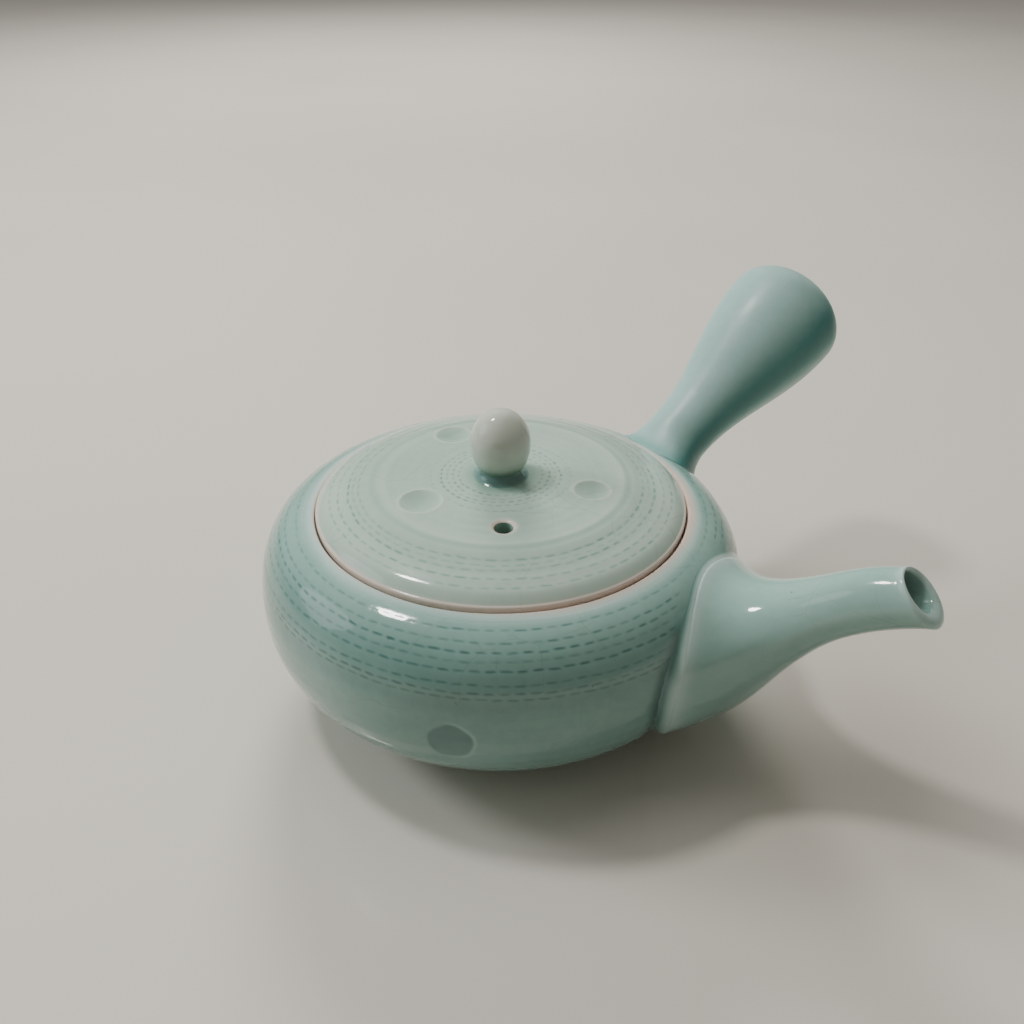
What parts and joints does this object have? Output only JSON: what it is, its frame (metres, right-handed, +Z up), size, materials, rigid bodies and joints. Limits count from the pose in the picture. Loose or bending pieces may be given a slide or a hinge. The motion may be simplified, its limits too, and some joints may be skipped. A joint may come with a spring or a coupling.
{
  "type": "side-handled teapot",
  "caption": "Lidded celadon teapot with a squashed round bowl, curved spout, straight hollow side handle and a lift-off lid with an egg-shaped knob.",
  "frame": {"origin": "on the bowl's axis, on the face that the foot ring stands on", "axes": "+Z up along the bowl's axis, +X towards the spout, the handle between +X and +Y at 68 degrees"},
  "size_m": [0.1638, 0.1697, 0.0894],
  "materials": {
    "celadon_glaze": "gloss",
    "pooled_glaze": "gloss",
    "thin_glaze": "gloss",
    "bare_clay": "matte"
  },
  "bodies": {
    "pot": {"bowl": "celadon_glaze", "foot_ring": "bare_clay", "mouth_ring": "thin_glaze", "spout": "celadon_glaze", "spout_seam": "celadon_glaze", "handle": "celadon_glaze", "handle_seam": "celadon_glaze"},
    "lid_ring": {"lid_flange": "bare_clay"},
    "lid": {"lid_plate": "celadon_glaze", "knob": "celadon_glaze", "knob_collar": "pooled_glaze"}
  },
  "joints": [
    {"name": "lid_lift", "type": "slide", "parent": "pot", "child": "lid_ring", "axis": [0, 0, 1], "range_m": [0, 0.07]},
    {"name": "lid_turn", "type": "hinge", "parent": "lid_ring", "child": "lid", "pos_m": [0, 0, 0.052], "axis": [0, 0, 1], "continuous": true}
  ]
}
